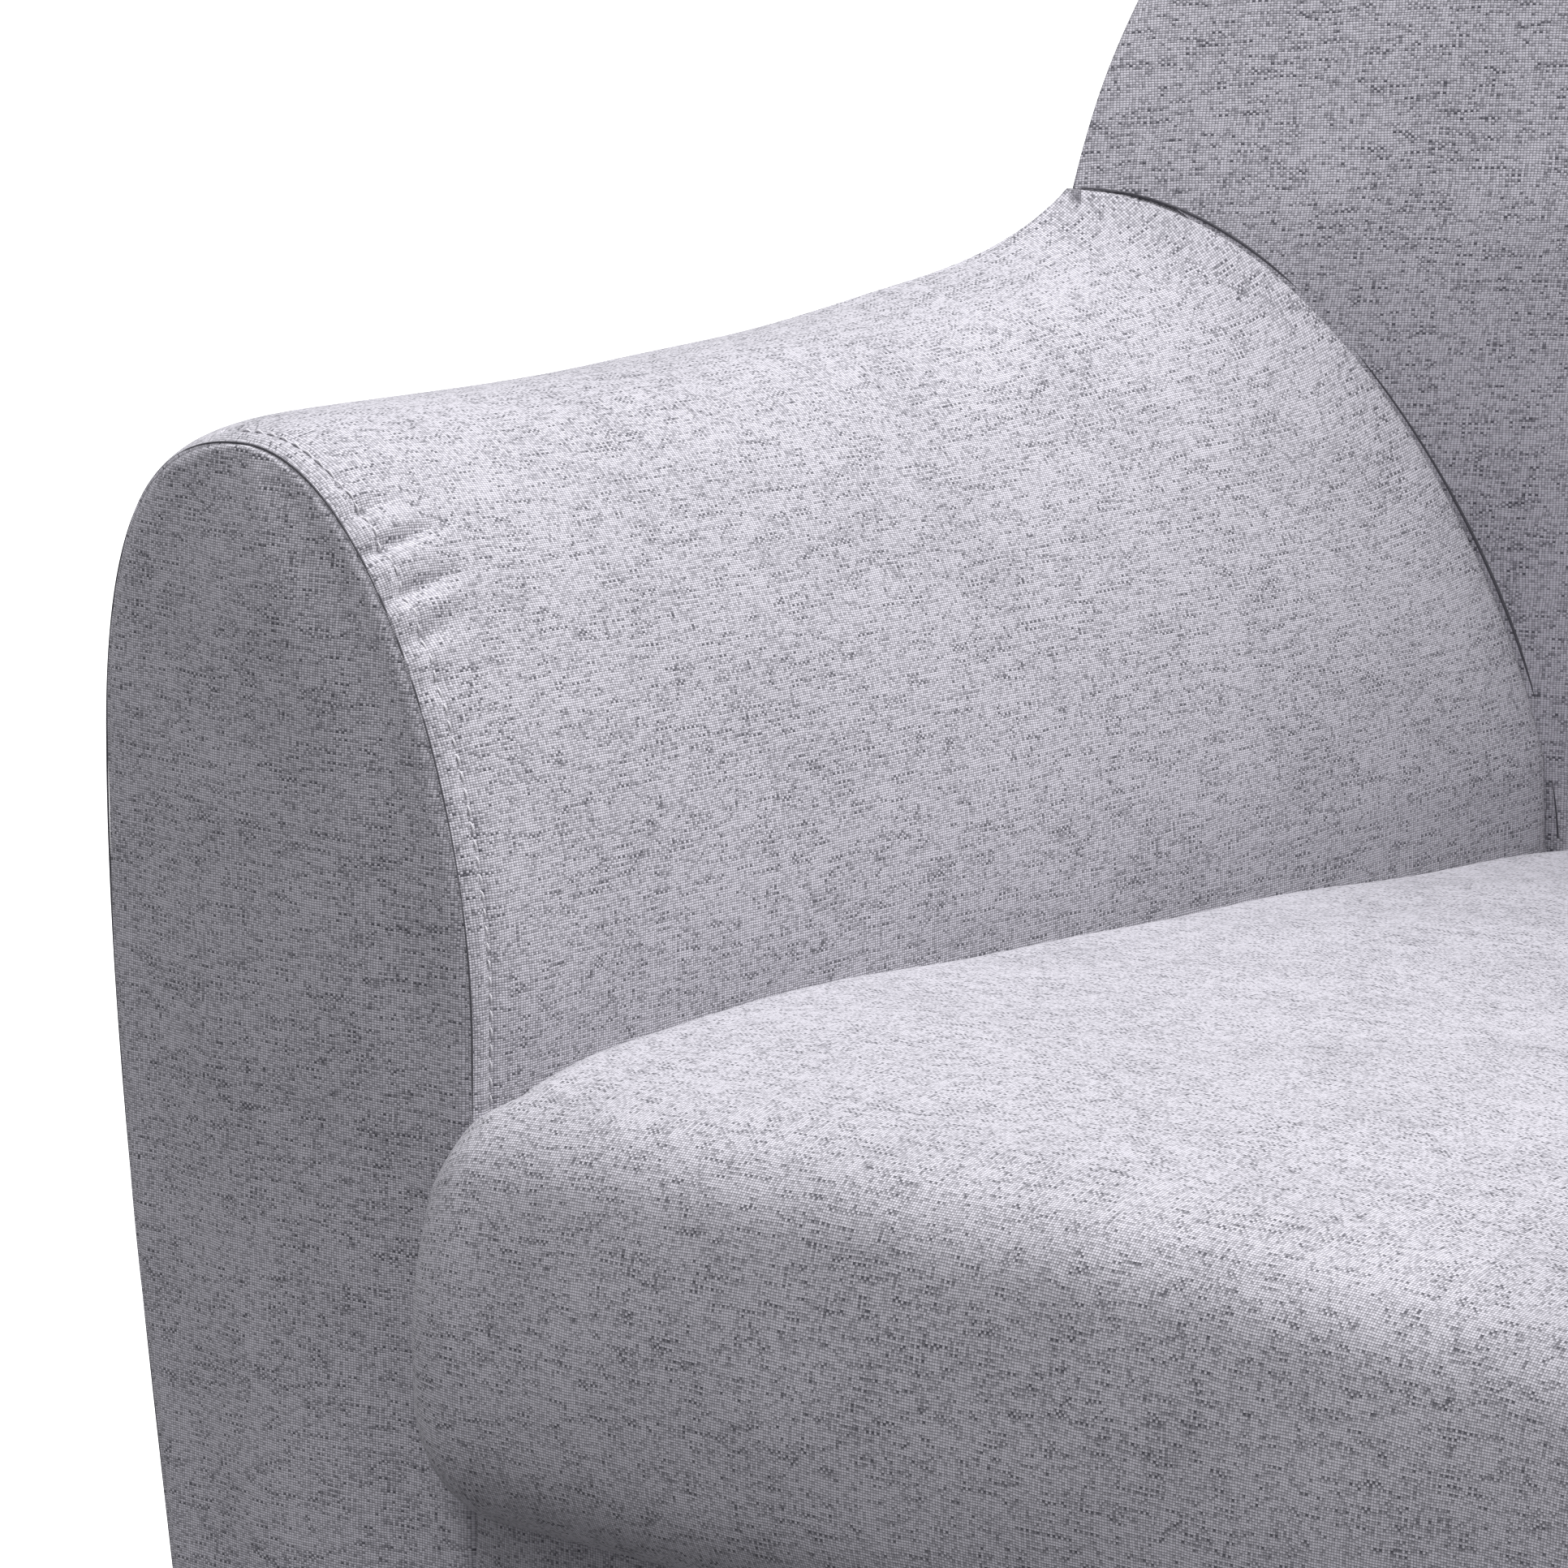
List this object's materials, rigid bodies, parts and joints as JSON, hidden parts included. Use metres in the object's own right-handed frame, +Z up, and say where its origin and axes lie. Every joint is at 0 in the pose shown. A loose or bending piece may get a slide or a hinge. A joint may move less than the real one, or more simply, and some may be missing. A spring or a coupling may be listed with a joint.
{
  "type": "rocking chair",
  "caption": "upholstered rocking armchair with rounded arms that flow into a high curved back, a wrapped seat cushion and a light wood base on arc rockers",
  "frame": {"origin": "on the floor, under the middle of the bounding box", "axes": "+Z up, the seat opens towards -Y, +X to the right when looking along +Y"},
  "size_m": [0.7696, 0.88, 0.9702],
  "materials": {
    "upholstery": "light grey melange plain weave",
    "base_wood": "clear satin lacquer on light hardwood",
    "frame_wood": "raw softwood, inside the upholstery",
    "foam": "open-cell foam, inside the upholstery",
    "felt": "needled felt, inside the upholstery",
    "lining": "black non-woven lining and webbing",
    "hardware_steel": "zinc-plated steel",
    "spring_steel": "drawn spring wire"
  },
  "bodies": {
    "root": {"rocker_left": "base_wood", "rocker_right": "base_wood", "leg_front_left": "base_wood", "leg_front_right": "base_wood", "leg_rear_left": "base_wood", "leg_rear_right": "base_wood", "stretcher_front": "base_wood", "stretcher_rear": "base_wood", "leg_plates": "hardware_steel", "leg_plate_screws": "hardware_steel", "hanger_bolts": "hardware_steel", "rocker_bolts": "hardware_steel", "seat_rail_front": "frame_wood", "seat_rail_rear": "frame_wood", "seat_rail_left": "frame_wood", "seat_rail_right": "frame_wood", "corner_blocks": "frame_wood", "seat_springs": "spring_steel", "spring_clips": "spring_steel", "spring_pad": "felt", "seat_foam": "foam", "seat_cushion": "upholstery", "front_rail_cover": "upholstery", "dust_cover": "lining", "arm_front_board_left": "frame_wood", "arm_front_board_right": "frame_wood", "arm_top_rail_left": "frame_wood", "arm_top_rail_right": "frame_wood", "arm_pad_left": "foam", "arm_pad_right": "foam", "arm_front_panel_left": "upholstery", "arm_front_panel_right": "upholstery", "arm_inner_cover_left": "upholstery", "arm_inner_cover_right": "upholstery", "arm_outer_cover_left": "upholstery", "arm_outer_cover_right": "upholstery", "back_post_left": "frame_wood", "back_post_right": "frame_wood", "back_top_rail": "frame_wood", "back_lumbar_rail": "frame_wood", "back_lower_rail": "frame_wood", "back_webbing": "lining", "back_pad": "foam", "back_inner_cover": "upholstery", "back_top_cover": "upholstery", "back_outer_cover": "upholstery"}
  },
  "joints": []
}
